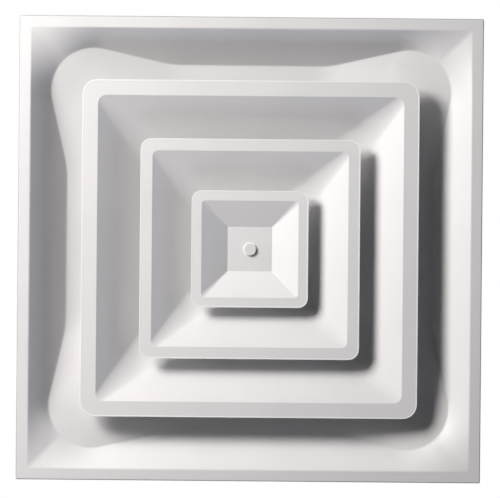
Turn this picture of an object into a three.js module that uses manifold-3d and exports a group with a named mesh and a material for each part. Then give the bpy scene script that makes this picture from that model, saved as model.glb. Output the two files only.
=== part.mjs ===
// Square three-cone ceiling air diffuser, 24 inch lay-in panel, 12 inch round neck.
// Millimetres, +Z up (towards the duct). The room side faces -Z.
// Origin: centre of the plane of the panel's flat border, the lowest face of the part.
import * as THREE from 'three';
import { mergeVertices } from 'three/addons/utils/BufferGeometryUtils.js';
import Module from 'manifold-3d';

const wasm = await Module();
wasm.setup();

// ---------------------------------------------------------------- driving dimensions
const PANEL_HALF = 301.625;      // half of the 603.25 mm panel
const BORDER_INNER = 286.5;      // half size where the flat border folds up
const LIP_HEIGHT = 7;            // turned-up edge of the border
const PAN_T = 0.8;               // sheet of the back pan
const WALL_TAN = Math.tan(THREE.MathUtils.degToRad(42)); // slope of the pan's side walls
const LOBE_MID = 240.2;          // half width of the plateau's outline at mid side
const LOBE_C = 204.6;            // centre of the corner lobes, x and y
const LOBE_R = 56.6;             // radius of the corner lobes
const LOBE_LEAN = THREE.MathUtils.degToRad(12.5); // the straight runs lean out to the lobes
const LOBE_Z = 25;               // height of the fold where the lobes begin
const NECK_Z = 56.5;             // plateau height at the neck
const NECK_R_IN = 148.7;         // inside of the pan's drawn neck flange
const NECK_FLANGE_TOP = 69;
const COLLAR_R_IN = 150.1;       // round duct collar, outside the neck flange
const COLLAR_T = 0.7;
const COLLAR_Z0 = 59.2;
const COLLAR_Z1 = 98;
const CONE_T = 0.7;
// a outer half, b rim inner half, c top opening half, f flange half, z rim height, slope in degrees,
// ra outer corner radius, rb rim inner radius, rc top radius, rf flange radius
const CONE_1 = { a: 219, b: 199, c: 118, f: 108, z: 1, slope: 28.5, ra: 19, rb: 11, rc: 47, rf: 37 };
const CONE_2 = { a: 143, b: 127.6, c: 58, f: 48, z: 2, slope: 25, ra: 14, rb: 8, rc: 36, rf: 26 };
const CONE_3 = { a: 76, b: 63, c: 29, z: 3, slope: 22.5, ra: 13, rb: 5, rc: 1.2 };
const HEM = 4;                   // turned-up edge of every cone
const PLUG_HOLE_R = 5.6;         // hole in the centre cone's floor
const PLUG_CAP_R = 8;
const BRACKET_T = 1.2;
const BRACKET_W = 18;
const LEG_T = 0.6;
const LEG_W = 16;
const GAP = 0.3;                 // clearance between touching pieces
const STATOR_Z = 86;             // underside of the fixed damper plate
const DAMPER_T = 0.8;
const BLADES = 6;
const BLADE_R0 = 26, BLADE_R1 = 140;
const COLLAR_RIVET_Z = 64, COLLAR_RIVET_ANGLES = [15, 75, 135, 195, 255, 315];
const STATOR_RIVET_Z = 91, STATOR_RIVET_ANGLES = [45, 135, 225, 315];

// ---------------------------------------------------------------- materials
const paint = () => new THREE.MeshStandardMaterial({ color: 0xf0f0ee, roughness: 0.42, metalness: 0 });
const zincSheet = () => new THREE.MeshStandardMaterial({ color: 0xb4b8bb, roughness: 0.38, metalness: 0.9 });
const zincPlate = () => new THREE.MeshStandardMaterial({ color: 0xc3c6c6, roughness: 0.3, metalness: 0.95 });
const springSteel = () => new THREE.MeshStandardMaterial({ color: 0x6b6f74, roughness: 0.35, metalness: 0.95 });
const alu = () => new THREE.MeshStandardMaterial({ color: 0xc9cacb, roughness: 0.35, metalness: 0.95 });
const nylon = () => new THREE.MeshStandardMaterial({ color: 0xefeeea, roughness: 0.5, metalness: 0 });

// ---------------------------------------------------------------- helpers
const clean = (geometry) => {
  const g = geometry.index ? geometry.toNonIndexed() : geometry.clone();
  for (const name of Object.keys(g.attributes)) if (name !== 'position') g.deleteAttribute(name);
  return mergeVertices(g, 1e-4);
};

const toSolid = (geometry) => {
  const g = clean(geometry);
  return new wasm.Manifold(new wasm.Mesh({
    numProp: 3,
    vertProperties: new Float32Array(g.attributes.position.array),
    triVerts: new Uint32Array(g.index.array),
  }));
};

const toGeometry = (solid) => {
  const mesh = solid.getMesh();
  const g = new THREE.BufferGeometry();
  const n = mesh.numProp;
  const pos = new Float32Array((mesh.vertProperties.length / n) * 3);
  for (let i = 0; i < pos.length / 3; i++) for (let k = 0; k < 3; k++) pos[3 * i + k] = mesh.vertProperties[n * i + k];
  g.setAttribute('position', new THREE.BufferAttribute(pos, 3));
  g.setIndex(new THREE.BufferAttribute(new Uint32Array(mesh.triVerts), 1));
  return g;
};

const cut = (geometry, ...tools) => {
  let s = toSolid(geometry);
  for (const t of tools) s = s.subtract(toSolid(t));
  return toGeometry(s);
};

const join = (...geometries) => {
  let s = toSolid(geometries[0]);
  for (const g of geometries.slice(1)) s = s.add(toSolid(g));
  return toGeometry(s);
};

// A thin sheet ring: `loops` are closed loops of points on its room-side face, listed from one
// free edge to the other. The second face lies `t` behind it, measured square to the surface.
const sheetRing = (loops, t) => {
  const m = loops.length, n = loops[0].length;
  const P = loops.map((l) => l.map((p) => new THREE.Vector3(...p)));
  const faces = [];
  for (let i = 0; i < m - 1; i++) for (let j = 0; j < n; j++) {
    const k = (j + 1) % n;
    faces.push([[i, j], [i, k], [i + 1, k]], [[i, j], [i + 1, k], [i + 1, j]]);
  }
  const N = P.map((l) => l.map(() => new THREE.Vector3()));
  const list = P.map((l) => l.map(() => []));
  for (const f of faces) {
    const [a, b, c] = f.map(([i, j]) => P[i][j]);
    const fn = b.clone().sub(a).cross(c.clone().sub(a));
    if (fn.length() < 1e-9) continue;
    fn.normalize();
    f.forEach(([i, j], q) => {
      const o = P[i][j];
      const u = P[f[(q + 1) % 3][0]][f[(q + 1) % 3][1]].clone().sub(o);
      const v = P[f[(q + 2) % 3][0]][f[(q + 2) % 3][1]].clone().sub(o);
      N[i][j].addScaledVector(fn, u.angleTo(v));
      list[i][j].push(fn);
    });
  }
  const Q = P.map((l, i) => l.map((p, j) => {
    const d = N[i][j].clone().normalize();
    let least = 1;
    for (const fn of list[i][j]) least = Math.min(least, fn.dot(d));
    return p.clone().addScaledVector(d, t / Math.max(least, 0.66));
  }));
  const rings = [...P, ...Q.reverse()];
  const pos = [], idx = [];
  for (const r of rings) for (const p of r) pos.push(p.x, p.y, p.z);
  for (let i = 0; i < rings.length; i++) {
    const i2 = (i + 1) % rings.length;
    for (let j = 0; j < n; j++) {
      const k = (j + 1) % n;
      idx.push(i * n + j, i2 * n + k, i * n + k, i * n + j, i2 * n + j, i2 * n + k);
    }
  }
  const g = new THREE.BufferGeometry();
  g.setAttribute('position', new THREE.BufferAttribute(new Float32Array(pos), 3));
  g.setIndex(idx);
  return g;
};

const roundedSquare = (h, r, z, seg = 6) => {
  const pts = [];
  for (let c = 0; c < 4; c++) {
    const a0 = c * Math.PI / 2;
    const cx = (h - r) * (c === 0 || c === 3 ? 1 : -1), cy = (h - r) * (c < 2 ? 1 : -1);
    for (let s = 0; s <= seg; s++) {
      const a = a0 + (s / seg) * Math.PI / 2;
      pts.push([cx + r * Math.cos(a), cy + r * Math.sin(a), z]);
    }
  }
  return pts;
};

// a circle with as many points as roundedSquare, evenly spread from the corners outwards
const roundRing = (r, z, seg = 6) => Array.from({ length: 4 * (seg + 1) }, (_, j) => {
  const a = Math.PI / 4 + (j - seg / 2) * Math.PI / (2 * (seg + 1));
  return [r * Math.cos(a), r * Math.sin(a), z];
});

const lathe = (profile, seg) => {
  const g = new THREE.LatheGeometry(profile.map(([r, y]) => new THREE.Vector2(r, y)), seg);
  g.rotateX(Math.PI / 2);
  return g;
};

// a strip of sheet bent in the XZ plane: `line` is the centre of its lower face
const bentStrip = (line, t, w) => {
  const up = line.map(([x, z], i) => {
    const a = line[Math.max(i - 1, 0)], b = line[Math.min(i + 1, line.length - 1)];
    const d1 = new THREE.Vector2(x - a[0], z - a[1]), d2 = new THREE.Vector2(b[0] - x, b[1] - z);
    if (d1.length() < 1e-9) d1.copy(d2);
    if (d2.length() < 1e-9) d2.copy(d1);
    d1.normalize(); d2.normalize();
    const n1 = new THREE.Vector2(-d1.y, d1.x), n2 = new THREE.Vector2(-d2.y, d2.x);
    const nn = n1.clone().add(n2).normalize();
    return [x + nn.x * t / Math.max(nn.dot(n1), 0.5), z + nn.y * t / Math.max(nn.dot(n1), 0.5)];
  });
  const s = new THREE.Shape([...line, ...up.reverse()].map(([x, z]) => new THREE.Vector2(x, z)));
  const g = new THREE.ExtrudeGeometry(s, { depth: w, bevelEnabled: false, curveSegments: 6 });
  g.translate(0, 0, -w / 2);
  g.rotateX(Math.PI / 2);
  return g;
};

const group = new THREE.Group();
group.name = 'ceiling_air_diffuser';
const add = (name, geometry, material, place) => {
  const mesh = new THREE.Mesh(geometry, material);
  mesh.name = name;
  if (place) place(mesh);
  group.add(mesh);
  return mesh;
};

// ---------------------------------------------------------------- back pan
// Stations from the middle of a side to the corner. Each one is a ruling: a point on the
// border's edges, a point on the lobed fold between wall and plateau, and the neck behind it.
const stations = () => {
  const list = [];
  const tanLean = Math.tan(LOBE_LEAN);
  const tx = LOBE_C + LOBE_R * Math.cos(LOBE_LEAN), ty = LOBE_C - LOBE_R * Math.sin(LOBE_LEAN);
  const lineX = (y) => tx - (ty - y) * tanLean;
  const midZ = (BORDER_INNER - LOBE_MID) * WALL_TAN;
  // the fold falls evenly from mid side to the lobes, and that fall eases out on the diagonal
  const foldZ = (x) => midZ + (LOBE_Z - midZ) * Math.min(Math.max((x - LOBE_MID) / (tx - LOBE_MID), 0), 1);
  const fall = (midZ - LOBE_Z) / ((tx - LOBE_MID) / Math.sin(LOBE_LEAN));
  const arcZ = (f) => {
    const along = LOBE_R * (f + LOBE_LEAN), total = LOBE_R * (Math.PI / 4 + LOBE_LEAN);
    return LOBE_Z - 1.25 * fall * (along - along ** 2 / (2 * total));
  };
  const knee = ty - (tx - LOBE_MID) / tanLean;
  const y0 = knee - 16, y1 = knee + 16;
  for (const y of [0, 28, 56]) list.push({ bx: LOBE_MID, by: y, ey: y, q: 0 });
  for (let s = 0; s <= 3; s++) {
    const t = s / 3;
    const x = (1 - t) ** 2 * LOBE_MID + 2 * t * (1 - t) * LOBE_MID + t * t * lineX(y1);
    const y = (1 - t) ** 2 * y0 + 2 * t * (1 - t) * knee + t * t * y1;
    list.push({ bx: x, by: y, ey: y, q: 0 });
  }
  for (const t of [0.5, 1]) {
    const y = y1 + (ty - y1) * t;
    list.push({ bx: lineX(y), by: y, ey: y, q: 0 });
  }
  for (let s = 0; s <= 4; s++) {
    const f = (s / 4) * Math.PI / 4;
    const span = BORDER_INNER - LOBE_C - LOBE_R * (Math.PI / 4);
    list.push({
      bx: LOBE_C + LOBE_R * Math.cos(f), by: LOBE_C + LOBE_R * Math.sin(f),
      ey: LOBE_C + LOBE_R * f + span * (s / 4) ** 3, z: arcZ(f), q: 0.66 * (s / 4) ** 3,
    });
  }
  for (const p of list) if (p.z === undefined) p.z = foldZ(p.bx);
  return list;
};

const panLevels = (p) => {
  // points of one ruling in the octant 0 <= y <= x, from the lip to the top of the neck flange
  const k = p.ey / BORDER_INNER;
  const edge = (h) => [h, k * h];
  const E = [BORDER_INNER, p.ey], B = [p.bx, p.by];
  const len = Math.hypot(E[0] - B[0], E[1] - B[1]);
  const wall = (u) => {
    const z = p.z * ((1 - p.q) * u + p.q * u * u);
    return [E[0] + (B[0] - E[0]) * u, E[1] + (B[1] - E[1]) * u, z];
  };
  const rb = Math.hypot(...B), cb = B[0] / rb, sb = B[1] / rb;
  const plateau = (r) => [r * cb, r * sb, p.z + (NECK_Z - p.z) * (rb - r) / (rb - NECK_R_IN - 2.3)];
  return [
    [...edge(PANEL_HALF), LIP_HEIGHT],
    [...edge(PANEL_HALF), 1],
    [...edge(PANEL_HALF - 1), 0],
    [...edge(BORDER_INNER + 0.8), 0],
    wall(1.0 / len),
    wall(0.55),
    wall(1 - 1.6 / len),
    plateau(rb - 1.6),
    plateau(NECK_R_IN + 2.3),
    [(NECK_R_IN + 0.1) * cb, (NECK_R_IN + 0.1) * sb, NECK_Z + 2.2],
    [NECK_R_IN * cb, NECK_R_IN * sb, NECK_FLANGE_TOP],
  ];
};

const panLoops = () => {
  const octant = stations().map(panLevels);
  const quadrant = [...octant];
  for (let i = octant.length - 2; i >= 0; i--) quadrant.push(octant[i].map(([x, y, z]) => [y, x, z]));
  quadrant.pop();
  const all = [];
  for (let c = 0; c < 4; c++) for (const col of quadrant) {
    all.push(col.map(([x, y, z]) => [[x, y, z], [-y, x, z], [-x, -y, z], [y, -x, z]][c]));
  }
  return all[0].map((_, i) => all.map((col) => col[i]));
};

// tools for the rivet holes through the neck flange, the collar and the damper's rim
const radialHoles = (angles, z, r) => angles.map((deg) => {
  const g = new THREE.CylinderGeometry(r, r, 12, 10);
  g.rotateZ(-Math.PI / 2);
  g.translate(150, 0, 0);
  g.rotateZ(THREE.MathUtils.degToRad(deg));
  g.translate(0, 0, z);
  return g;
});
const RIVET_HOLE_R = 2.3;
const neckHoles = () => radialHoles(COLLAR_RIVET_ANGLES, COLLAR_RIVET_Z, RIVET_HOLE_R);
const statorHoles = () => radialHoles(STATOR_RIVET_ANGLES, STATOR_RIVET_Z, RIVET_HOLE_R);

add('back_pan', cut(sheetRing(panLoops(), PAN_T), ...neckHoles()), paint());

// ---------------------------------------------------------------- round collar
const collarProfile = () => {
  const r = COLLAR_R_IN;
  const inner = [[0, COLLAR_Z0], [0, 74.4], [1.6, 76.2], [1.6, 77], [0, 78.8], [0, COLLAR_Z1]];
  const outer = inner.map(([d, z]) => [d + COLLAR_T, z]).reverse();
  const loop = [...inner, ...outer].map(([d, z]) => [r + d, z]);
  return [...loop, loop[0]];
};
add('neck_collar', cut(lathe(collarProfile().reverse(), 60), ...neckHoles(), ...statorHoles()), zincSheet());

// ---------------------------------------------------------------- rivets
const rivetGeometry = (grip0, grip1, headR = 3.6, tailR = 3.2) => lathe([
  [0, grip0 - 1.4], [tailR * 0.8, grip0 - 1.4], [tailR, grip0],
  [1.9, grip0], [1.9, grip1], [headR, grip1], [headR * 0.7, grip1 + 1], [0, grip1 + 1.4],
], 8);
const radialRivet = (deg, z) => {
  const g = rivetGeometry(148.1, 151.1);
  g.rotateY(Math.PI / 2);
  g.rotateZ(THREE.MathUtils.degToRad(deg));
  g.translate(0, 0, z);
  return g;
};
COLLAR_RIVET_ANGLES.forEach((deg, i) => add(`collar_rivet_${i + 1}`, radialRivet(deg, COLLAR_RIVET_Z), alu()));
STATOR_RIVET_ANGLES.forEach((deg, i) => add(`damper_rivet_${i + 1}`, radialRivet(deg, STATOR_RIVET_Z), alu()));

// ---------------------------------------------------------------- cones
const coneTan = (c) => Math.tan(THREE.MathUtils.degToRad(c.slope));
const coneTop = (c) => c.z + (c.b - c.c) * coneTan(c);
const coneLoops = (c, seg) => {
  const slope = (h) => {
    const u = (c.b - h) / (c.b - c.c);
    return roundedSquare(h, c.rb + (c.rc - c.rb) * u, c.z + (c.b - h) * coneTan(c), seg);
  };
  return [
    roundedSquare(c.a, c.ra, c.z + HEM, seg),
    roundedSquare(c.a, c.ra, c.z + 1.2, seg),
    roundedSquare(c.a - 0.35, c.ra - 0.35, c.z + 0.35, seg),
    roundedSquare(c.a - 1.2, c.ra - 1.2, c.z, seg),
    roundedSquare(c.b + 1, c.rb + 1, c.z, seg),
    slope(c.b - 1),
    slope((c.b + c.c) / 2),
    slope(c.c + 1),
  ];
};
const openCone = (c, seg) => {
  const top = coneTop(c);
  return sheetRing([
    ...coneLoops(c, seg),
    roundedSquare(c.c - 1, c.rc - 1, top, seg),
    roundedSquare(c.f, c.rf, top, seg),
  ], CONE_T);
};
const top1 = coneTop(CONE_1), top2 = coneTop(CONE_2), floor3 = coneTop(CONE_3);
const rivetX1 = (CONE_1.c + CONE_1.f) / 2, rivetX2 = (CONE_2.c + CONE_2.f) / 2;
const quarter = [0, 1, 2, 3];
const uprightHoles = (x, z) => quarter.map((q) => {
  const g = new THREE.CylinderGeometry(RIVET_HOLE_R, RIVET_HOLE_R, 8, 10);
  g.rotateX(Math.PI / 2);
  g.translate(x, 0, z);
  g.rotateZ(q * Math.PI / 2);
  return g;
});
add('cone_outer', cut(openCone(CONE_1, 6), ...uprightHoles(rivetX1, top1)), paint());
add('cone_middle', cut(openCone(CONE_2, 6), ...uprightHoles(rivetX2, top2)), paint());

const centreLoops = () => {
  const loops = coneLoops(CONE_3, 6);
  const edge = roundedSquare(CONE_3.c - 0.6, CONE_3.rc - 0.6, floor3, 6);
  return [...loops, edge, roundRing(PLUG_HOLE_R + 5, floor3), roundRing(PLUG_HOLE_R, floor3)];
};
add('cone_centre', sheetRing(centreLoops(), CONE_T), paint());

// ---------------------------------------------------------------- plug button in the centre cone
const plugButton = () => {
  const z = floor3 - GAP;
  const body = lathe([
    [0, z - 2.6], [PLUG_CAP_R - 0.5, z - 2.6], [PLUG_CAP_R, z - 2.1], [PLUG_CAP_R, z - 1.4], [6.2, z - 1.1], [6.2, z], [5.1, z],
    [5.3, z + 3.4], [4.4, z + 7], [3.3, z + 7], [3.3, z + 0.6], [0, z + 0.6],
  ], 16);
  const slots = [0, Math.PI / 2].map((a) => {
    const g = new THREE.BoxGeometry(14, 1.4, 6);
    g.rotateZ(a + Math.PI / 4);
    g.translate(0, 0, z + 4.6);
    return g;
  });
  return cut(body, ...slots);
};
add('plug_button', plugButton(), nylon());

// ---------------------------------------------------------------- core brackets, spring legs, rivets
const z3 = floor3 + CONE_T + GAP;       // lower face of the bracket's foot on the centre cone
const z2 = top2 + CONE_T + GAP;         // lower face over the middle cone's flange
const z1 = top1 + CONE_T + GAP;         // lower face over the outer cone's flange
const legZ = z1 + BRACKET_T + GAP;
const bracket = () => cut(
  bentStrip([[13, z3], [24.6, z3], [26.4, z3 + 0.6], [27, z3 + 2.4], [27, z2 - 2.2], [27.6, z2 - 0.6], [29.4, z2],
    [63, z2], [65, z2 + 0.5], [71, z1 - 0.5], [73, z1], [118, z1]], BRACKET_T, BRACKET_W),
  ...[[rivetX2, z2], [rivetX1, z1]].map(([x, z]) => {
    const g = new THREE.CylinderGeometry(RIVET_HOLE_R, RIVET_HOLE_R, 8, 10);
    g.rotateX(Math.PI / 2);
    g.translate(x, 0, z);
    return g;
  }),
);
const leg = () => {
  const hole = new THREE.CylinderGeometry(RIVET_HOLE_R, RIVET_HOLE_R, 6, 10);
  hole.rotateX(Math.PI / 2);
  hole.translate(rivetX1, 0, legZ);
  return cut(bentStrip([[107, legZ], [130, legZ], [133, legZ + 0.8], [135.2, legZ + 3], [145.4, 60], [147.5, 63],
    [147.9, 64.5], [147.5, 66], [142.6, 75]], LEG_T, LEG_W), hole);
};
quarter.forEach((q) => {
  const turn = (m) => { m.rotation.z = q * Math.PI / 2; };
  add(`core_bracket_${q + 1}`, bracket(), zincPlate(), turn);
  add(`spring_leg_${q + 1}`, leg(), springSteel(), turn);
  add(`middle_rivet_${q + 1}`, rivetGeometry(top2 - GAP, z2 + BRACKET_T + GAP), alu(), (m) => {
    m.position.set(rivetX2 * Math.cos(q * Math.PI / 2), rivetX2 * Math.sin(q * Math.PI / 2), 0);
  });
  add(`outer_rivet_${q + 1}`, rivetGeometry(top1 - GAP, legZ + LEG_T + GAP), alu(), (m) => {
    m.position.set(rivetX1 * Math.cos(q * Math.PI / 2), rivetX1 * Math.sin(q * Math.PI / 2), 0);
  });
});

// ---------------------------------------------------------------- radial shutter damper in the neck
const sector = (r0, r1, mid, half, seg) => {
  const pts = [];
  for (let s = 0; s <= seg; s++) {
    const a = THREE.MathUtils.degToRad(mid - half + (2 * half * s) / seg);
    pts.push(new THREE.Vector2(r1 * Math.cos(a), r1 * Math.sin(a)));
  }
  for (let s = 0; s <= 2; s++) {
    const a = THREE.MathUtils.degToRad(mid + half - (2 * half * s) / 2);
    pts.push(new THREE.Vector2(r0 * Math.cos(a), r0 * Math.sin(a)));
  }
  return pts;
};
const PITCH = 360 / BLADES;
const statorPlate = () => {
  const disc = new THREE.Shape();
  disc.setFromPoints(Array.from({ length: 60 }, (_, i) => {
    const a = (i / 60) * Math.PI * 2;
    return new THREE.Vector2(149.4 * Math.cos(a), 149.4 * Math.sin(a));
  }));
  for (let b = 0; b < BLADES; b++) disc.holes.push(new THREE.Path(sector(BLADE_R0, BLADE_R1 - 3, b * PITCH, 14, 6).reverse()));
  disc.holes.push(new THREE.Path(Array.from({ length: 20 }, (_, i) => {
    const a = -(i / 20) * Math.PI * 2;
    return new THREE.Vector2(5.6 * Math.cos(a), 5.6 * Math.sin(a));
  })));
  const plate = new THREE.ExtrudeGeometry(disc, { depth: DAMPER_T, bevelEnabled: false });
  plate.translate(0, 0, STATOR_Z);
  const rim = lathe([[148.6, STATOR_Z], [149.4, STATOR_Z], [149.4, 96], [148.6, 96], [148.6, STATOR_Z]], 60);
  return { plate, rim };
};
{
  const { plate, rim } = statorPlate();
  add('damper_plate', cut(join(plate, rim), ...statorHoles()), zincSheet());
}
const rotorZ = STATOR_Z - GAP - DAMPER_T;
const rotorPlate = () => {
  // one outline: hub arcs between the blades, blade arcs outside; rest is the open position,
  // with the blades hidden under the plate's solid sectors
  const pts = [];
  for (let b = 0; b < BLADES; b++) {
    const mid = b * PITCH + PITCH / 2;
    for (let s = 0; s <= 6; s++) {
      const a = THREE.MathUtils.degToRad(mid - 15 + (30 * s) / 6);
      pts.push(new THREE.Vector2(BLADE_R1 * Math.cos(a), BLADE_R1 * Math.sin(a)));
    }
    for (let s = 0; s <= 2; s++) {
      const a = THREE.MathUtils.degToRad(mid + 15 + (30 * s) / 2);
      pts.push(new THREE.Vector2(24 * Math.cos(a), 24 * Math.sin(a)));
    }
  }
  const shape = new THREE.Shape(pts);
  shape.holes.push(new THREE.Path(Array.from({ length: 16 }, (_, i) => {
    const a = -(i / 16) * Math.PI * 2;
    return new THREE.Vector2(Math.min(4.4 * Math.cos(a), 3.4), 4.4 * Math.sin(a));
  })));
  const g = new THREE.ExtrudeGeometry(shape, { depth: DAMPER_T, bevelEnabled: false });
  g.translate(0, 0, rotorZ);
  return g;
};
add('damper_rotor', rotorPlate(), zincSheet());

// spindle: slotted head below the rotor, D-shaped drive through it, round journal in the bush
const spindleHeadZ = rotorZ - GAP;
const spindle = () => {
  const body = lathe([
    [0, spindleHeadZ - 5], [6.2, spindleHeadZ - 5], [7, spindleHeadZ - 4.2], [7, spindleHeadZ], [4, spindleHeadZ],
    [4, 89.9], [3.2, 89.9], [3.2, 91.1], [4, 91.1], [4, 93.4], [3.4, 94], [0, 94],
  ], 20);
  const slot = new THREE.BoxGeometry(18, 1.8, 5.4);
  slot.translate(0, 0, spindleHeadZ - 5);
  const flat = new THREE.BoxGeometry(2, 12, rotorZ + DAMPER_T + 0.15 - spindleHeadZ);
  flat.translate(3.05 + 1, 0, (rotorZ + DAMPER_T + 0.15 + spindleHeadZ) / 2);
  return cut(body, slot, flat);
};
add('damper_spindle', spindle(), zincPlate());
add('spindle_bush', lathe([
  [4.4, STATOR_Z], [5.2, STATOR_Z], [5.2, STATOR_Z + DAMPER_T + GAP], [9, STATOR_Z + DAMPER_T + GAP],
  [9, STATOR_Z + DAMPER_T + GAP + 1.2], [4.4, STATOR_Z + DAMPER_T + GAP + 1.2], [4.4, STATOR_Z],
], 20), nylon());
add('spindle_washer', lathe([[4.5, 88.7], [8, 88.7], [8, 89.5], [4.5, 89.5], [4.5, 88.7]], 20), springSteel());
const retainingClip = () => {
  const s = new THREE.Shape();
  const pts = [];
  for (let i = 0; i <= 14; i++) {
    const a = THREE.MathUtils.degToRad(35 + (290 * i) / 14);
    pts.push(new THREE.Vector2(7.4 * Math.cos(a), 7.4 * Math.sin(a)));
  }
  for (let i = 14; i >= 0; i--) {
    const a = THREE.MathUtils.degToRad(35 + (290 * i) / 14);
    pts.push(new THREE.Vector2(3.55 * Math.cos(a), 3.55 * Math.sin(a)));
  }
  s.setFromPoints(pts);
  const g = new THREE.ExtrudeGeometry(s, { depth: 0.6, bevelEnabled: false });
  g.translate(0, 0, 90.2);
  return g;
};
add('spindle_clip', retainingClip(), springSteel());

export default group;
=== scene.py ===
import math
import bpy
import bmesh
import numpy as np
from mathutils import Matrix, Vector


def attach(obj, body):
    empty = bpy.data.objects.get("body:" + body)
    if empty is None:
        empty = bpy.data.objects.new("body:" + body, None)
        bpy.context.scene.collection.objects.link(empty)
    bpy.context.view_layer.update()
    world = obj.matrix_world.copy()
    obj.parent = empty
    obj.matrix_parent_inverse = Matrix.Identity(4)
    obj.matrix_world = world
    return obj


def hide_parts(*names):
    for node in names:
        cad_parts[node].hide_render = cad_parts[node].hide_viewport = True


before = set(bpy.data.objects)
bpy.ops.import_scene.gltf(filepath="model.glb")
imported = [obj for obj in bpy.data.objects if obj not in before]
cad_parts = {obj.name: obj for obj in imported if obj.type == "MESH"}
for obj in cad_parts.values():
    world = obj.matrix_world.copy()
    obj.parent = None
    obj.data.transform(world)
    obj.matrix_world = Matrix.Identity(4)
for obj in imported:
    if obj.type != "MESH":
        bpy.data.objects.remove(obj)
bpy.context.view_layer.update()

# ------------------------------------------------------------------ dimensions, as in the CAD (mm)
PANEL_HALF = 301.625
BORDER_INNER = 286.5
LIP_HEIGHT = 7.0
PAN_T = 0.8
WALL_TAN = math.tan(math.radians(42))
LOBE_MID, LOBE_C, LOBE_R = 240.2, 204.6, 56.6
LOBE_LEAN = math.radians(12.5)
LOBE_Z = 25.0
NECK_Z, NECK_R_IN, NECK_FLANGE_TOP = 56.5, 148.7, 69.0
COLLAR_R_IN, COLLAR_T, COLLAR_Z0, COLLAR_Z1 = 150.1, 0.7, 59.2, 98.0
CONE_T = 0.7
CONE_1 = dict(a=219, b=199, c=118, f=108, z=1, slope=28.5, ra=19, rb=11, rc=47, rf=37)
CONE_2 = dict(a=143, b=127.6, c=58, f=48, z=2, slope=25, ra=14, rb=8, rc=36, rf=26)
CONE_3 = dict(a=76, b=63, c=29, z=3, slope=22.5, ra=13, rb=5, rc=1.2)
HEM = 4.0
BEAD = 0.2                      # the hem stands this much proud of the rim
PLUG_HOLE_R = 5.6
PLUG_CAP_R = 8.0
RIVET_HOLE_R = 2.3
GAP = 0.3
COLLAR_RIVET_Z, COLLAR_RIVET_ANGLES = 64, [15, 75, 135, 195, 255, 315]
STATOR_RIVET_Z, STATOR_RIVET_ANGLES = 91, [45, 135, 225, 315]


# ------------------------------------------------------------------ small helpers
def obj_from(name, verts_mm, faces, smooth=True):
    me = bpy.data.meshes.new(name)
    me.from_pydata((np.asarray(verts_mm, float) * 0.001).tolist(), [], faces)
    me.validate()
    bm = bmesh.new()
    bm.from_mesh(me)
    bmesh.ops.remove_doubles(bm, verts=bm.verts, dist=1e-6)
    bmesh.ops.dissolve_degenerate(bm, edges=bm.edges, dist=1e-7)
    bmesh.ops.recalc_face_normals(bm, faces=bm.faces)
    if bm.calc_volume(signed=True) < 0:
        bmesh.ops.reverse_faces(bm, faces=bm.faces)
    bm.to_mesh(me)
    bm.free()
    for p in me.polygons:
        p.use_smooth = smooth
    o = bpy.data.objects.new(name, me)
    bpy.context.scene.collection.objects.link(o)
    return o


def set_material(o, mat):
    o.data.materials.clear()
    o.data.materials.append(mat)


def weighted(o):
    m = o.modifiers.new("normals", "WEIGHTED_NORMAL")
    m.mode = "FACE_AREA_WITH_ANGLE"
    m.weight = 80
    m.keep_sharp = True
    return o


def fillet(path, radii, k=6):
    """Rounds the inner corners of a polyline in any number of dimensions; the first two set the size."""
    path = [np.asarray(p, float) for p in path]
    out = [path[0]]
    for i in range(1, len(path) - 1):
        p, a, b = path[i], path[i - 1], path[i + 1]
        r = radii[i]
        if r <= 0:
            out.append(p)
            continue
        u, v = a - p, b - p
        lu, lv = np.linalg.norm(u[:2]), np.linalg.norm(v[:2])
        ang = math.acos(max(-1, min(1, float(np.dot(u[:2], v[:2]) / (lu * lv)))))
        d = min(r / math.tan(ang / 2), 0.45 * lu, 0.45 * lv)
        p0, p2 = p + u * (d / lu), p + v * (d / lv)
        # a conic arc: exact for a circle
        w = math.sin(ang / 2)
        for s in range(k + 1):
            t = s / k
            b0, b1, b2 = (1 - t) ** 2, 2 * t * (1 - t) * w, t * t
            out.append((b0 * p0 + b1 * p + b2 * p2) / (b0 + b1 + b2))
    out.append(path[-1])
    return out


def densify(path, step):
    out = [path[0]]
    for a, b in zip(path, path[1:]):
        n = max(1, int(math.ceil(np.linalg.norm((b - a)[:2]) / step)))
        for s in range(1, n + 1):
            out.append(a + (b - a) * (s / n))
    return out


def grid_normals(P):
    """Normals and miter scale of a closed-in-j grid P[i, j, 3]."""
    m, n, _ = P.shape
    N = np.zeros_like(P)
    fns = []
    for di in (0, 1):
        pass
    J = np.roll(P, -1, axis=1)
    a, b, c, d = P[:-1], J[:-1], J[1:], P[1:]
    fn = np.cross(c - a, d - b)
    ln = np.linalg.norm(fn, axis=2, keepdims=True)
    fn = -np.where(ln > 1e-9, fn / np.maximum(ln, 1e-9), 0)
    area = ln
    w = np.sqrt(np.maximum(area, 1e-6))
    for (di, dj) in ((0, 0), (0, 1), (1, 0), (1, 1)):
        N[di:m - 1 + di] += np.roll(fn * 1.0, dj, axis=1)
    Nn = N / np.maximum(np.linalg.norm(N, axis=2, keepdims=True), 1e-9)
    least = np.ones((m, n))
    for (di, dj) in ((0, 0), (0, 1), (1, 0), (1, 1)):
        f = np.roll(fn, dj, axis=1)
        dots = np.einsum("ijk,ijk->ij", f, Nn[di:m - 1 + di])
        dots = np.where(np.linalg.norm(f, axis=2) < 0.5, 1, dots)
        least[di:m - 1 + di] = np.minimum(least[di:m - 1 + di], dots)
    return Nn, 1 / np.maximum(least, 0.6)


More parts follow.
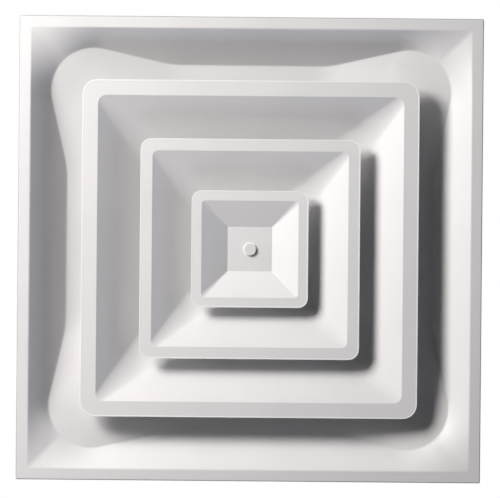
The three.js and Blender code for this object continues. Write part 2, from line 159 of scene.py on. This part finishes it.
def sheet_ring(name, loops, t, away):
    """A closed thin sheet from loops on its room-side face. away: +1 or -1, the side the second face is on."""
    P = np.array(loops, float)
    m, n, _ = P.shape
    Nn, sc = grid_normals(P)
    Q = P + Nn * (t * sc)[..., None] * away
    rings = np.concatenate([P, Q[::-1]], axis=0)
    M = rings.shape[0]
    V = rings.reshape(-1, 3)
    faces = []
    for i in range(M):
        i2 = (i + 1) % M
        for j in range(n):
            k = (j + 1) % n
            faces.append((i * n + j, i * n + k, i2 * n + k, i2 * n + j))
    return obj_from(name, V, faces)


def rounded_square(h, r, z, seg=20, side=20):
    pts = []
    for c in range(4):
        a0 = c * math.pi / 2
        cx = (h - r) * (1 if c in (0, 3) else -1)
        cy = (h - r) * (1 if c < 2 else -1)
        for s in range(seg + 1):
            a = a0 + (s / seg) * math.pi / 2
            pts.append((cx + r * math.cos(a), cy + r * math.sin(a), z))
        # the straight run to the next corner
        p = pts[-1]
        a1 = a0 + math.pi / 2
        cx2 = (h - r) * (1 if (c + 1) % 4 in (0, 3) else -1)
        cy2 = (h - r) * (1 if (c + 1) % 4 < 2 else -1)
        q = (cx2 + r * math.cos(a1), cy2 + r * math.sin(a1), z)
        for s in range(1, side):
            t = s / side
            pts.append((p[0] + (q[0] - p[0]) * t, p[1] + (q[1] - p[1]) * t, z))
    return pts


def lathe(name, profile, seg=64, axis="Z"):
    """profile: (r, z) points in mm. Ends on the axis or closed on itself."""
    closed = abs(profile[0][0] - profile[-1][0]) < 1e-9 and abs(profile[0][1] - profile[-1][1]) < 1e-9
    prof = profile[:-1] if closed else profile
    V, F, rows = [], [], []
    for r, z in prof:
        if r < 1e-9:
            rows.append([len(V)])
            V.append((0, 0, z))
        else:
            rows.append(list(range(len(V), len(V) + seg)))
            for s in range(seg):
                a = 2 * math.pi * s / seg
                V.append((r * math.cos(a), r * math.sin(a), z))
    pairs = list(zip(rows, rows[1:])) + ([(rows[-1], rows[0])] if closed else [])
    for A, B in pairs:
        for s in range(seg):
            k = (s + 1) % seg
            q = [A[s % len(A)], A[k % len(A)], B[k % len(B)], B[s % len(B)]]
            q = list(dict.fromkeys(q))
            if len(q) > 2:
                F.append(tuple(q))
    return obj_from(name, V, F)


# ------------------------------------------------------------------ materials
def new_mat(name):
    m = bpy.data.materials.new(name)
    m.use_nodes = True
    nt = m.node_tree
    nt.nodes.clear()
    out = nt.nodes.new("ShaderNodeOutputMaterial")
    bsdf = nt.nodes.new("ShaderNodeBsdfPrincipled")
    nt.links.new(bsdf.outputs[0], out.inputs[0])
    return m, nt, bsdf


def coords(nt, scale=(1, 1, 1)):
    tc = nt.nodes.new("ShaderNodeTexCoord")
    mp = nt.nodes.new("ShaderNodeMapping")
    mp.inputs["Scale"].default_value = scale
    nt.links.new(tc.outputs["Object"], mp.inputs["Vector"])
    return mp.outputs["Vector"]


def noise(nt, vec, scale, detail=3, rough=0.5, kind="NOISE"):
    n = nt.nodes.new("ShaderNodeTexNoise")
    n.inputs["Scale"].default_value = scale
    n.inputs["Detail"].default_value = detail
    n.inputs["Roughness"].default_value = rough
    nt.links.new(vec, n.inputs["Vector"])
    return n.outputs["Fac"]


def ramp(nt, fac, stops):
    r = nt.nodes.new("ShaderNodeValToRGB")
    e = r.color_ramp.elements
    while len(e) < len(stops):
        e.new(0.5)
    for el, (pos, col) in zip(e, stops):
        el.position = pos
        el.color = (*col, 1) if len(col) == 3 else col
    nt.links.new(fac, r.inputs["Fac"])
    return r.outputs["Color"]


def maprange(nt, fac, a, b, c, d):
    n = nt.nodes.new("ShaderNodeMapRange")
    for k, v in zip(("From Min", "From Max", "To Min", "To Max"), (a, b, c, d)):
        n.inputs[k].default_value = v
    nt.links.new(fac, n.inputs["Value"])
    return n.outputs["Result"]


def bump(nt, height, strength, distance, normal=None):
    b = nt.nodes.new("ShaderNodeBump")
    b.inputs["Strength"].default_value = strength
    b.inputs["Distance"].default_value = distance
    nt.links.new(height, b.inputs["Height"])
    if normal is not None:
        nt.links.new(normal, b.inputs["Normal"])
    return b.outputs["Normal"]


def mix_color(nt, fac, a, b, mode="MIX"):
    n = nt.nodes.new("ShaderNodeMix")
    n.data_type = "RGBA"
    n.blend_type = mode
    for sock, val in ((n.inputs[0], fac), (n.inputs[6], a), (n.inputs[7], b)):
        if hasattr(val, "is_linked") or isinstance(val, bpy.types.NodeSocket):
            nt.links.new(val, sock)
        elif isinstance(val, (int, float)):
            sock.default_value = val
        else:
            sock.default_value = (*val, 1)
    return n.outputs[2]


def rounded_distance(nt, half, radius):
    """How far a point is from the inside of a rounded square's corner arcs: `radius` on its outline, all round."""
    tc = nt.nodes.new("ShaderNodeTexCoord")
    flat = nt.nodes.new("ShaderNodeVectorMath")
    flat.operation = "MULTIPLY"
    flat.inputs[1].default_value = (1000, 1000, 0)
    nt.links.new(tc.outputs["Object"], flat.inputs[0])
    ab = nt.nodes.new("ShaderNodeVectorMath")
    ab.operation = "ABSOLUTE"
    nt.links.new(flat.outputs[0], ab.inputs[0])
    sub = nt.nodes.new("ShaderNodeVectorMath")
    sub.operation = "SUBTRACT"
    sub.inputs[1].default_value = (half - radius, half - radius, 0)
    nt.links.new(ab.outputs[0], sub.inputs[0])
    pos = nt.nodes.new("ShaderNodeVectorMath")
    pos.operation = "MAXIMUM"
    pos.inputs[1].default_value = (0, 0, 0)
    nt.links.new(sub.outputs[0], pos.inputs[0])
    ln = nt.nodes.new("ShaderNodeVectorMath")
    ln.operation = "LENGTH"
    nt.links.new(pos.outputs[0], ln.inputs[0])
    return ln.outputs["Value"]


def enamel(name="white_enamel", base=(0.758, 0.755, 0.758), rough=0.42, edge=None, line=None):
    """Baked white enamel on pressed steel: faint orange peel, slow waviness and soft roughness change.
    edge: half size and corner radius of a folded outer edge, along which the enamel is painted lighter as a painted
    highlight.
    line: half size and corner radius of a bent outer edge, whose lowest band is painted dark grey as painted shade."""
    m, nt, b = new_mat(name)
    v = coords(nt)
    slow = noise(nt, v, 9, 3, 0.55)
    col = ramp(nt, slow, [(0.25, tuple(c * 0.975 for c in base)), (0.5, base), (0.78, tuple(min(1, c * 1.012) for c in base))])
    speck = noise(nt, v, 420, 2, 0.6)
    col = mix_color(nt, maprange(nt, speck, 0.62, 0.75, 0.0, 0.06), col, tuple(c * 0.8 for c in base))
    if edge:
        half, radius = edge
        # painted highlight: the enamel is painted lighter along the outer edge's fold, all round
        painted_light_mask = maprange(nt, rounded_distance(nt, half, radius), radius - 1.9, radius - 1.4, 0.0, 1.0)
        col = mix_color(nt, painted_light_mask, col, (0.91, 0.905, 0.905))
    if line:
        half, radius = line
        # painted shade: a dark grey band on the bent outer edge, only on its lowest part (up to about 1.5 mm)
        painted_light_mask = maprange(nt, rounded_distance(nt, half, radius), radius - 1.15, radius - 0.75, 0.0, 1.0)
        xyz = nt.nodes.new("ShaderNodeSeparateXYZ")
        nt.links.new(v, xyz.inputs[0])
        low = maprange(nt, xyz.outputs["Z"], 0.0013, 0.0017, 1.0, 0.0)
        painted_shade_mask = nt.nodes.new("ShaderNodeMath")
        painted_shade_mask.operation = "MULTIPLY"
        nt.links.new(painted_light_mask, painted_shade_mask.inputs[0])
        nt.links.new(low, painted_shade_mask.inputs[1])
        col = mix_color(nt, painted_shade_mask.outputs[0], col, (0.34, 0.34, 0.35))
    nt.links.new(col, b.inputs["Base Color"])
    r = noise(nt, v, 35, 4, 0.6)
    nt.links.new(maprange(nt, r, 0.3, 0.7, rough - 0.05, rough + 0.07), b.inputs["Roughness"])
    peel = noise(nt, v, 520, 2, 0.5)
    wave = noise(nt, v, 11, 2, 0.4)
    n1 = bump(nt, wave, 0.35, 0.0022)
    n2 = bump(nt, peel, 0.12, 0.00035, n1)
    nt.links.new(n2, b.inputs["Normal"])
    b.inputs["Specular IOR Level"].default_value = 0.4
    return m


def galvanised(name="galvanised_sheet"):
    m, nt, b = new_mat(name)
    v = coords(nt)
    vo = nt.nodes.new("ShaderNodeTexVoronoi")
    vo.feature = "F1"
    vo.inputs["Scale"].default_value = 95
    warp = nt.nodes.new("ShaderNodeTexNoise")
    warp.inputs["Scale"].default_value = 60
    nt.links.new(v, warp.inputs["Vector"])
    add = nt.nodes.new("ShaderNodeVectorMath")
    add.operation = "MULTIPLY_ADD"
    nt.links.new(warp.outputs["Color"], add.inputs[0])
    add.inputs[1].default_value = (0.012, 0.012, 0.012)
    nt.links.new(v, add.inputs[2])
    nt.links.new(add.outputs[0], vo.inputs["Vector"])
    bw = nt.nodes.new("ShaderNodeRGBToBW")
    nt.links.new(vo.outputs["Color"], bw.inputs[0])
    col = ramp(nt, bw.outputs[0], [(0.2, (0.47, 0.485, 0.495)), (0.5, (0.54, 0.555, 0.565)), (0.8, (0.61, 0.62, 0.625))])
    nt.links.new(col, b.inputs["Base Color"])
    nt.links.new(maprange(nt, bw.outputs[0], 0.2, 0.8, 0.40, 0.58), b.inputs["Roughness"])
    b.inputs["Metallic"].default_value = 0.9
    fine = noise(nt, v, 300, 3, 0.6)
    n1 = bump(nt, bw.outputs[0], 0.15, 0.0004)
    nt.links.new(bump(nt, fine, 0.1, 0.0002, n1), b.inputs["Normal"])
    return m


def metal(name, base, rough, metallic=0.95, brushed=None, tint=None):
    m, nt, b = new_mat(name)
    v = coords(nt)
    n = noise(nt, v, 140, 4, 0.6)
    lo = tuple(c * 0.86 for c in base)
    hi = tuple(min(1, c * 1.08) for c in base)
    col = ramp(nt, n, [(0.3, lo), (0.52, base), (0.75, hi if tint is None else tint)])
    nt.links.new(col, b.inputs["Base Color"])
    b.inputs["Metallic"].default_value = metallic
    n2 = noise(nt, coords(nt, brushed) if brushed else v, 60 if brushed else 260, 4, 0.6)
    nt.links.new(maprange(nt, n2, 0.3, 0.7, rough - 0.08, rough + 0.1), b.inputs["Roughness"])
    nt.links.new(bump(nt, n2, 0.12, 0.0002), b.inputs["Normal"])
    return m


def plastic(name, base, rough, edge=None):
    m, nt, b = new_mat(name)
    v = coords(nt)
    n = noise(nt, v, 120, 3, 0.5)
    col = ramp(nt, n, [(0.3, tuple(c * 0.96 for c in base)), (0.7, base)])
    if edge:                            # painted highlight: a ring along the cap's edge is painted brighter
        painted_light_mask = maprange(nt, rounded_distance(nt, edge, edge), edge - 1.5, edge - 0.9, 0.0, 0.9)
        col = mix_color(nt, painted_light_mask, col, (0.95, 0.945, 0.945))
    nt.links.new(col, b.inputs["Base Color"])
    nt.links.new(maprange(nt, n, 0.3, 0.7, rough - 0.04, rough + 0.06), b.inputs["Roughness"])
    nt.links.new(bump(nt, noise(nt, v, 700, 2, 0.5), 0.1, 0.0002), b.inputs["Normal"])
    return m


# the back pan's enamel carries the painted shade band along its outer bend
ENAMEL = enamel(line=(PANEL_HALF, 1.6))
GALV = galvanised()
ZINC = metal("zinc_plate", (0.58, 0.585, 0.57), 0.34, tint=(0.66, 0.655, 0.60))
SPRING = metal("spring_steel", (0.20, 0.205, 0.215), 0.34)
ALU = metal("rivet_alloy", (0.66, 0.66, 0.67), 0.36)
PLUG = plastic("white_enamel_plug", (0.79, 0.785, 0.785), 0.4, edge=PLUG_CAP_R)
NYLON = plastic("nylon_bush", (0.72, 0.70, 0.64), 0.5)


def place(o, mat, body, slot, *nodes):
    set_material(o, mat)
    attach(o, body)
    if nodes:
        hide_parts(*nodes)
    return o


# ------------------------------------------------------------------ back pan
def fold_z(x):
    """Height of the fold between wall and plateau along a side, from mid side to the lobes."""
    mid = (BORDER_INNER - LOBE_MID) * WALL_TAN
    k = (x - LOBE_MID) / (LOBE_C + LOBE_R * math.cos(LOBE_LEAN) - LOBE_MID)
    return mid + (LOBE_Z - mid) * min(max(k, 0.0), 1.0)


def round_corner(p, h, rho):
    """Moves a point of the square of half size h onto a corner of radius rho; works for 0 <= y <= x."""
    x, y = p
    if y <= h - rho:
        return (x, y)
    s = (y - (h - rho)) / rho           # 0 where the rounding starts, 1 on the diagonal
    a = s * math.pi / 4
    return (h - rho + rho * math.cos(a), h - rho + rho * math.sin(a))


def arc_z(f):
    """Height of the fold around a corner lobe: the fall along the side eases out to nothing on the diagonal."""
    tan_lean = math.tan(LOBE_LEAN)
    run = (LOBE_C + LOBE_R * math.cos(LOBE_LEAN) - LOBE_MID) / math.sin(LOBE_LEAN)
    fall = ((BORDER_INNER - LOBE_MID) * WALL_TAN - LOBE_Z) / run
    along, total = LOBE_R * (f + LOBE_LEAN), LOBE_R * (math.pi / 4 + LOBE_LEAN)
    return LOBE_Z - 1.25 * fall * (along - along ** 2 / (2 * total))


def pan_stations():
    tan_lean = math.tan(LOBE_LEAN)
    tx = LOBE_C + LOBE_R * math.cos(LOBE_LEAN)
    ty = LOBE_C - LOBE_R * math.sin(LOBE_LEAN)
    line_x = lambda y: tx - (ty - y) * tan_lean
    knee = ty - (tx - LOBE_MID) / tan_lean
    y0, y1 = knee - 16, knee + 16
    st = []
    for y in np.linspace(0, y0, 13)[:-1]:
        st.append(dict(b=(LOBE_MID, y), e=y, q=0.0))
    for t in np.linspace(0, 1, 11)[:-1]:
        x = ((1 - t) ** 2 + 2 * t * (1 - t)) * LOBE_MID + t * t * line_x(y1)
        y = (1 - t) ** 2 * y0 + 2 * t * (1 - t) * knee + t * t * y1
        st.append(dict(b=(x, y), e=y, q=0.0))
    for y in np.linspace(y1, ty, 12)[:-1]:
        st.append(dict(b=(line_x(y), y), e=y, q=0.0))
    for f in np.linspace(-LOBE_LEAN, 0, 6)[:-1]:
        x, y = LOBE_C + LOBE_R * math.cos(f), LOBE_C + LOBE_R * math.sin(f)
        st.append(dict(b=(x, y), e=y, q=0.0, z=arc_z(f)))
    span = BORDER_INNER - LOBE_C - LOBE_R * math.pi / 4
    for s in list(np.linspace(0, 0.97, 26)) + [0.978, 0.985, 0.99, 0.994, 0.997, 1.0]:
        f = s * math.pi / 4
        st.append(dict(b=(LOBE_C + LOBE_R * math.cos(f), LOBE_C + LOBE_R * math.sin(f)),
                       e=LOBE_C + LOBE_R * f + span * s ** 3, z=arc_z(f), q=0.66 * s ** 3))
    for p in st:
        p.setdefault("z", fold_z(p["b"][0]))
    return st


def conic(p0, p1, p2, k):
    """Points of a smooth bend from p0 to p2 with its corner at p1."""
    p0, p1, p2 = (np.asarray(p, float) for p in (p0, p1, p2))
    u, v = p0 - p1, p2 - p1
    c = float(np.dot(u, v) / (np.linalg.norm(u) * np.linalg.norm(v) + 1e-12))
    w = math.sin(math.acos(max(-1, min(1, c))) / 2)
    out = []
    for s in range(k + 1):
        t = s / k
        b0, b1, b2 = (1 - t) ** 2, 2 * t * (1 - t) * w, t * t
        out.append((b0 * p0 + b1 * p1 + b2 * p2) / (b0 + b1 + b2))
    return out


def pan_ruling(p):
    k = p["e"] / BORDER_INNER
    edge = lambda h, rho: np.array(round_corner((h, k * h), h, rho))
    O = edge(PANEL_HALF, 1.6)
    O1 = edge(PANEL_HALF - 1.4, 1.0)
    E2 = np.array(round_corner((BORDER_INNER, p["e"]), BORDER_INNER, 4.0))
    B = np.array(p["b"])
    z, q = p["z"], p["q"]
    L = np.linalg.norm(E2 - B)

    def wall(u):
        return np.array([*(E2 + (B - E2) * u), z * ((1 - q) * u + q * u * u)])
    rb = np.linalg.norm(B)
    c, s = B / rb
    rn = NECK_R_IN + 2.3

    def plateau(r):
        return np.array([r * c, r * s, z + (NECK_Z - z) * (rb - r) / (rb - rn)])
    out_dir = (O - E2) / np.linalg.norm(O - E2)
    pts = [np.array([*O, LIP_HEIGHT]), np.array([*O, 4.0])]
    pts += conic([*O, 1.4], [*O, 0], [*O1, 0], 6)
    d1 = 1.5
    Eo = E2 + out_dir * d1
    mid = (O1 * 0.5 + Eo * 0.5)
    pts += [np.array([*(O1 * 0.75 + Eo * 0.25), 0]), np.array([*mid, 0]), np.array([*(O1 * 0.25 + Eo * 0.75), 0])]
    pts += conic([*Eo, 0], [*E2, 0], wall(d1 / L), 6)
    d2 = 1.6
    for u in np.linspace(d1 / L, 1 - d2 / L, 14)[1:-1]:
        pts.append(wall(u))
    pts += conic(wall(1 - d2 / L), [*B, z], plateau(rb - d2), 6)
    for r in np.linspace(rb - d2, rn, 22)[1:-1]:
        pts.append(plateau(r))
    top = np.array([NECK_R_IN * c, NECK_R_IN * s, NECK_Z + 3.6])
    pts += conic(plateau(rn + 0.6), plateau(NECK_R_IN), top, 8)
    pts.append(np.array([NECK_R_IN * c, NECK_R_IN * s, 64.0]))
    pts.append(np.array([NECK_R_IN * c, NECK_R_IN * s, NECK_FLANGE_TOP]))
    return np.array(pts)


def make_pan():
    octant = [pan_ruling(p) for p in pan_stations()]
    quadrant = list(octant) + [o[:, [1, 0, 2]] for o in octant[-2::-1]]
    quadrant.pop()
    cols = []
    for c in range(4):
        a = c * math.pi / 2
        R = np.array([[math.cos(a), -math.sin(a), 0], [math.sin(a), math.cos(a), 0], [0, 0, 1]])
        cols += [q @ R.T for q in quadrant]
    P = np.array(cols).transpose(1, 0, 2)
    return sheet_ring("back_pan_enamelled", P, PAN_T, -1)


pan = make_pan()
place(pan, ENAMEL, "pan", "white_enamel", "back_pan")
weighted(pan)


# ------------------------------------------------------------------ cones
def cone_top(c):
    return c["z"] + (c["b"] - c["c"]) * math.tan(math.radians(c["slope"]))


def cone_path(c, closed=False):
    top = cone_top(c)
    ctrl = [(c["a"], c["z"] + HEM, c["ra"]), (c["a"], c["z"] - BEAD, c["ra"]), (c["a"] - 0.7, c["z"] - BEAD, c["ra"] - 0.7),
            (c["a"] - 2.0, c["z"], c["ra"] - 2.0), (c["b"], c["z"], c["rb"]), (c["c"], top, c["rc"])]
    if closed:
        ctrl += [(c["c"] - 6, top, max(c["rc"] - 0.1, 0.6))]
        rad = [0, 0.4, 0.3, 0.5, 1.6, 0.8, 0]
    else:
        ctrl += [(c["f"], top, c["rf"])]
        rad = [0, 0.4, 0.3, 0.5, 1.6, 2.0, 0]
    path = fillet(ctrl, rad, 7)
    # the outer edge's bend is tight in plan too: its corner radius follows its size
    return path, top


def make_cone(name, c, closed=False):
    path, top = cone_path(c, closed)
    path = densify(path, 6.0)
    loops = [rounded_square(h, r, z) for h, z, r in path]
    if closed:
        n = len(loops[0])
        h0 = path[-1][0]
        last = np.array(loops[-1])
        for rr in (0.75, 0.5, 0.25, 0.08, 0.0):
            ring = []
            for x, y, z in last:
                a = math.atan2(y, x)
                cx, cy = PLUG_HOLE_R * math.cos(a), PLUG_HOLE_R * math.sin(a)
                ring.append((cx + (x - cx) * rr, cy + (y - cy) * rr, top))
            loops.append(ring)
    o = sheet_ring(name, loops, CONE_T, -1)
    return o


# the cone enamels are painted a step lighter inwards (outer 0.772, middle 0.785, centre 0.80): painted light for the
# stronger light at the middle; each cone also gets the painted highlight along its outer hem
for nm, spec, closed, shade in (("cone_outer", CONE_1, False, 0.772), ("cone_middle", CONE_2, False, 0.785), ("cone_centre", CONE_3, True, 0.80)):
    o = make_cone(nm + "_enamelled", spec, closed)
    place(o, enamel(nm + "_enamel", (shade, shade - 0.003, shade), edge=(spec["a"], spec["ra"])), "core", "white_enamel", nm)
    weighted(o)

TOP_3 = cone_top(CONE_3)


# ------------------------------------------------------------------ plug button
def make_plug():
    z = TOP_3 - GAP
    cap = [(0, z - 2.6, 0), (PLUG_CAP_R, z - 2.6, 0), (PLUG_CAP_R, z - 1.4, 0), (6.2, z - 1.1, 0), (6.2, z, 0), (5.1, z, 0),
           (5.3, z + 3.4, 0), (4.4, z + 7, 0), (3.3, z + 7, 0), (3.3, z + 0.6, 0), (0, z + 0.6, 0)]
    path = fillet(cap, [0, 0.7, 0.3, 0.3, 0.2, 0.1, 0.6, 0.3, 0.3, 0.3, 0], 5)
    prof = [(max(p[0], 0.0), p[1]) for p in path]
    prof[0] = (0, prof[0][1])
    prof[-1] = (0, prof[-1][1])
    o = lathe("plug_button_cap", prof, 64)
    cutters = []
    for a in (math.pi / 4, 3 * math.pi / 4):
        bm = bmesh.new()
        bmesh.ops.create_cube(bm, size=1)
        bmesh.ops.scale(bm, vec=(0.014, 0.0014, 0.006), verts=bm.verts)
        bmesh.ops.rotate(bm, matrix=Matrix.Rotation(a, 3, "Z"), verts=bm.verts)
        bmesh.ops.translate(bm, vec=(0, 0, (z + 4.6) * 0.001), verts=bm.verts)
        me = bpy.data.meshes.new("cut")
        bm.to_mesh(me)
        bm.free()
        c = bpy.data.objects.new("cut", me)
        bpy.context.scene.collection.objects.link(c)
        cutters.append(c)
    for c in cutters:
        mod = o.modifiers.new("slot", "BOOLEAN")
        mod.operation = "DIFFERENCE"
        mod.solver = "EXACT"
        mod.object = c
    dg = bpy.context.evaluated_depsgraph_get()
    me = bpy.data.meshes.new_from_object(o.evaluated_get(dg))
    o.modifiers.clear()
    o.data = me
    for c in cutters:
        bpy.data.objects.remove(c)
    for p in o.data.polygons:
        p.use_smooth = True
    return o


plug = make_plug()
place(plug, PLUG, "plug", "white_enamel_plug", "plug_button")
weighted(plug)


# ------------------------------------------------------------------ duct collar with its lap seam
def make_collar():
    zs = [(0, COLLAR_Z0), (0, 66), (0, 74.4), (1.6, 76.2), (1.6, 77), (0, 78.8), (0, 88), (0, COLLAR_Z1)]
    path = fillet([(d, z, 0) for d, z in zs], [0, 0, 1.6, 0.9, 0.9, 1.6, 0, 0], 5)
    inner = [(COLLAR_R_IN + p[0], p[1]) for p in path]
    outer = [(COLLAR_R_IN + COLLAR_T + p[0], p[1]) for p in path][::-1]
    prof = inner + outer
    seg = 240
    V, F = [], []
    n_in = len(inner)
    for i, (r, z) in enumerate(prof):
        for s in range(seg):
            a = 2 * math.pi * s / seg
            rr = r
            if i >= n_in:                       # the lap seam stands one sheet proud on the outside
                da = math.degrees((a - math.radians(200) + math.pi) % (2 * math.pi) - math.pi)
                if 0 <= da <= 4.5:
                    rr += COLLAR_T * 0.9
            V.append((rr * math.cos(a), rr * math.sin(a), z))
    n = len(prof)
    for i in range(n):
        for s in range(seg):
            k, i2 = (s + 1) % seg, (i + 1) % n
            F.append((i * seg + s, i * seg + k, i2 * seg + k, i2 * seg + s))
    return obj_from("neck_collar_sheet", V, F)


collar = make_collar()
place(collar, GALV, "pan", "galvanised_sheet", "neck_collar")
weighted(collar)


# ------------------------------------------------------------------ rivets
def rivet(name, grip0, grip1, head=3.6, tail=3.2, mat=ALU, node=None, body="pan", matrix=Matrix.Identity(4)):
    ctrl = [(0, grip0 - 1.4, 0), (tail * 0.8, grip0 - 1.4, 0), (tail, grip0, 0), (1.9, grip0, 0), (1.9, grip1, 0), (head, grip1, 0),
            (head * 0.75, grip1 + 1.0, 0), (1.1, grip1 + 1.35, 0), (0.95, grip1 + 0.9, 0), (0, grip1 + 0.9, 0)]
    path = fillet(ctrl, [0, 0.6, 0.3, 0.05, 0.05, 0.25, 1.2, 0.1, 0.1, 0], 4)
    prof = [(max(p[0], 0.0), p[1]) for p in path]
    o = lathe(name, prof, 28)
    o.data.transform(matrix)
    place(o, mat, body, "rivet_alloy", node)
    weighted(o)
    return o


def mm(x, y, z):
    return Matrix.Translation((x * 0.001, y * 0.001, z * 0.001))


def radial(deg, z):
    return mm(0, 0, z) @ Matrix.Rotation(math.radians(deg), 4, "Z") @ Matrix.Rotation(math.pi / 2, 4, "Y")


for i, deg in enumerate(COLLAR_RIVET_ANGLES):
    rivet(f"collar_rivet_{i + 1}_round", 148.1, 151.1, node=f"collar_rivet_{i + 1}", matrix=radial(deg, COLLAR_RIVET_Z))
for i, deg in enumerate(STATOR_RIVET_ANGLES):
    rivet(f"damper_rivet_{i + 1}_round", 148.1, 151.1, node=f"damper_rivet_{i + 1}", matrix=radial(deg, STATOR_RIVET_Z))

TOP_1 = cone_top(CONE_1)
TOP_2 = cone_top(CONE_2)
for q in range(4):
    turn = Matrix.Rotation(q * math.pi / 2, 4, "Z")
    rivet(f"middle_rivet_{q + 1}_round", TOP_2 - GAP, TOP_2 + CONE_T + GAP + 1.2 + GAP, node=f"middle_rivet_{q + 1}", body="core",
          matrix=turn @ mm(53, 0, 0))
    rivet(f"outer_rivet_{q + 1}_round", TOP_1 - GAP, TOP_1 + CONE_T + GAP + 1.2 + GAP + 0.6 + GAP, node=f"outer_rivet_{q + 1}", body="core",
          matrix=turn @ mm(113, 0, 0))

# ------------------------------------------------------------------ carried-over CAD nodes: finish and broken edges
def dress(node, mat, bevel=0.0):
    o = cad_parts[node]
    set_material(o, mat)
    for p in o.data.polygons:
        p.use_smooth = False
    if bevel:
        m = o.modifiers.new("edge", "BEVEL")
        m.width = bevel * 0.001
        m.segments = 2
        m.limit_method = "ANGLE"
        m.angle_limit = math.radians(30)
        m.harden_normals = False


for q in range(4):
    dress(f"core_bracket_{q + 1}", ZINC, 0.25)
    dress(f"spring_leg_{q + 1}", SPRING, 0.12)
dress("damper_plate", GALV, 0.12)
dress("damper_rotor", GALV, 0.12)
dress("damper_spindle", ZINC, 0.2)
dress("spindle_bush", NYLON, 0.15)
dress("spindle_washer", SPRING, 0.12)
dress("spindle_clip", SPRING, 0.1)

# ------------------------------------------------------------------ floor, world, lights
FLOOR_Z = -5.8
me = bpy.data.meshes.new("studio_floor")
me.from_pydata([(-30, -30, FLOOR_Z), (30, -30, FLOOR_Z), (30, 30, FLOOR_Z), (-30, 30, FLOOR_Z)], [], [(0, 1, 2, 3)])
floor = bpy.data.objects.new("studio_floor", me)
bpy.context.scene.collection.objects.link(floor)
fm, fnt, fb = new_mat("floor_pale")
fb.inputs["Base Color"].default_value = (0.84, 0.84, 0.84, 1)
fb.inputs["Roughness"].default_value = 0.8
fb.inputs["Emission Color"].default_value = (1, 1, 1, 1)
fb.inputs["Emission Strength"].default_value = 0.38
floor.data.materials.append(fm)
# the floor is only a backdrop: it sends no light back up at the part
floor.visible_diffuse = False
floor.visible_glossy = False
floor.visible_transmission = False
floor.visible_shadow = False

bpy.context.scene.view_settings.view_transform = "Standard"
bpy.context.scene.view_settings.look = "None"

# soft light from the sky side, much weaker from below; the backdrop itself is white
SKY, BELOW = 0.30, 0.0
world = bpy.data.worlds.new("studio")
bpy.context.scene.world = world
world.use_nodes = True
wnt = world.node_tree
wnt.nodes.clear()
wout = wnt.nodes.new("ShaderNodeOutputWorld")
lp = wnt.nodes.new("ShaderNodeLightPath")
mixw = wnt.nodes.new("ShaderNodeMixShader")
soft = wnt.nodes.new("ShaderNodeBackground")
plain = wnt.nodes.new("ShaderNodeBackground")
wtc = wnt.nodes.new("ShaderNodeTexCoord")
wxyz = wnt.nodes.new("ShaderNodeSeparateXYZ")
wnt.links.new(wtc.outputs["Generated"], wxyz.inputs[0])
wnt.links.new(maprange(wnt, wxyz.outputs["Z"], -0.02, 0.25, BELOW, SKY), soft.inputs["Strength"])
soft.inputs["Color"].default_value = (1, 1, 1, 1)
plain.inputs["Color"].default_value = (1, 1, 1, 1)
plain.inputs["Strength"].default_value = 1.0
wnt.links.new(lp.outputs["Is Camera Ray"], mixw.inputs[0])
wnt.links.new(soft.outputs[0], mixw.inputs[1])
wnt.links.new(plain.outputs[0], mixw.inputs[2])
wnt.links.new(mixw.outputs[0], wout.inputs[0])


def area(name, loc, target, size, power, color=(1, 1, 1), shape="DISK", size_y=None):
    ld = bpy.data.lights.new(name, "AREA")
    ld.shape = shape
    ld.size = size
    if size_y:
        ld.size_y = size_y
    ld.energy = power
    ld.color = color
    o = bpy.data.objects.new(name, ld)
    o.location = loc
    o.rotation_euler = (Vector(target) - Vector(loc)).to_track_quat("-Z", "Y").to_euler()
    bpy.context.scene.collection.objects.link(o)
    return o


# image right is +X and image up is -Y, because the camera looks straight up at the face
def aim(azimuth, from_normal, dist):
    """A place in front of the face: azimuth counted from image right towards image up."""
    az, fn = math.radians(azimuth), math.radians(from_normal)
    return (dist * math.sin(fn) * math.cos(az), -dist * math.sin(fn) * math.sin(az), -dist * math.cos(fn))


WARM, COOL = (1.035, 1.0, 0.98), (0.94, 0.985, 1.15)
area("key", aim(145, 57, 2.2), (0, 0, 0), 0.92, 61, WARM)
area("key_near", aim(130, 60, 1.2), (0, 0, 0), 0.45, 0.6, WARM)
area("key_left", aim(172, 54, 1.2), (0, 0, 0), 0.45, 1.3, WARM)
area("key_top", aim(115, 68, 2.2), (0, 0, 0), 0.8, 5.5, WARM)
area("fill_right_low", aim(0, 80, 2.5), (0, 0, 0), 1.0, 8.3, COOL)
area("fill_corner_low", aim(315, 80, 2.5), (0, 0, 0), 1.0, 2.0, COOL)
area("fill_bottom_low", aim(270, 80, 2.5), (0, 0, 0), 1.0, 8.8, COOL)
area("fill_right", aim(0, 50, 2.5), (0, 0, 0), 1.6, 1.6, COOL)
area("fill_left_low", aim(212, 60, 1.2), (0, 0, 0), 0.6, 0.7)
area("top_soft", (0.9, -1.1, 1.1), (0, 0, 0.05), 1.3, 18)
area("back_soft", (-1.2, 1.3, 0.8), (0, 0, 0.05), 1.1, 4)

# ------------------------------------------------------------------ camera
cam_data = bpy.data.cameras.new("camera")
cam = bpy.data.objects.new("camera", cam_data)
bpy.context.scene.collection.objects.link(cam)
bpy.context.scene.camera = cam
CAM_DIST = 5.0
FRAME_W = 0.6495
cam_data.sensor_width = 36
cam_data.lens = 36 * CAM_DIST / FRAME_W
cam_data.clip_start, cam_data.clip_end = 0.1, 60
cam.location = (0.0002, -0.0002, -CAM_DIST)
roll = math.radians(0.52)
# looks along +Z, image right +X, image up -Y, then rolled clockwise
R = Matrix(((1, 0, 0), (0, -1, 0), (0, 0, -1))).to_4x4()
cam.matrix_world = Matrix.Translation(cam.location) @ R @ Matrix.Rotation(roll, 4, "Z")
